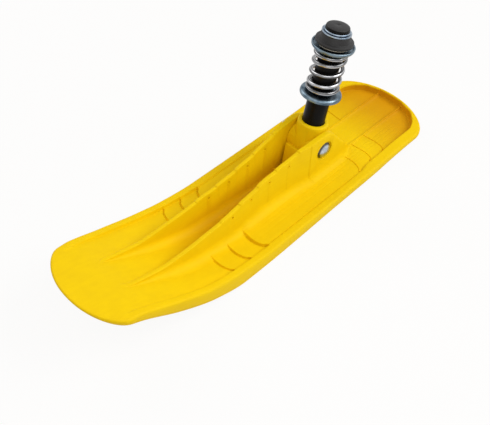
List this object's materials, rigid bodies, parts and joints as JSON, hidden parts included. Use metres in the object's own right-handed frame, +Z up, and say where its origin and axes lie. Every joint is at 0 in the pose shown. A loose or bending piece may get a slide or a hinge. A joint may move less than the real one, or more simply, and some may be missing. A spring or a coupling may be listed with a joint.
{
  "type": "sled steering ski",
  "caption": "Front steering ski of a snow sled: moulded ski with upturned tip, two ribs rising into pivot ears, and a raked steering tube with suspension spring on a knuckle.",
  "frame": {"origin": "on the snow, at the middle of the ski's length and width: the centre of the underside of the whole part's box", "axes": "+X forward towards the upturned tip, +Y to the ski's left, +Z up from the snow"},
  "size_m": [0.483, 0.131, 0.1899],
  "materials": {
    "yellow_plastic": "moulded, satin, fine grain",
    "black_paint": "gloss powder coat on steel",
    "black_plastic": "moulded, matt",
    "nylon": "natural nylon, translucent white",
    "zinc": "bright zinc plating, slightly blue",
    "spring_zinc": "bright plated spring wire"
  },
  "bodies": {
    "ski": {"ski_body": "yellow_plastic", "pivot_bolt": "zinc", "nut_washer": "zinc", "lock_nut": "zinc", "lock_nut_insert": "nylon", "pivot_sleeve": "zinc"},
    "column": {"knuckle": "yellow_plastic", "steering_tube": "black_paint", "lower_snap_ring": "zinc", "spring_seat": "zinc", "spring": "spring_zinc", "top_washer": "zinc", "top_snap_ring": "zinc", "tube_plug": "black_plastic"},
    "spring_cap": {"upper_spring_seat": "zinc", "thrust_washer": "nylon"},
    "head": {"head_bush": "black_plastic"}
  },
  "joints": [
    {"name": "ski_pitch", "type": "hinge", "parent": "ski", "child": "column", "pos_m": [-0.08, 0, 0.0505], "axis": [0, 1, 0], "range_deg": [-30, 4]},
    {"name": "suspension_travel", "type": "slide", "parent": "column", "child": "spring_cap", "axis": [-0.2164, 0, 0.9763], "range_m": [-0.02, 0], "stiffness_N_per_m": 8000, "springref_m": 0.004, "deforming": ["spring"]},
    {"name": "steering", "type": "hinge", "parent": "spring_cap", "child": "head", "pos_m": [-0.10649, 0, 0.17], "axis": [-0.2164, 0, 0.9763], "range_deg": [-45, 45]}
  ]
}
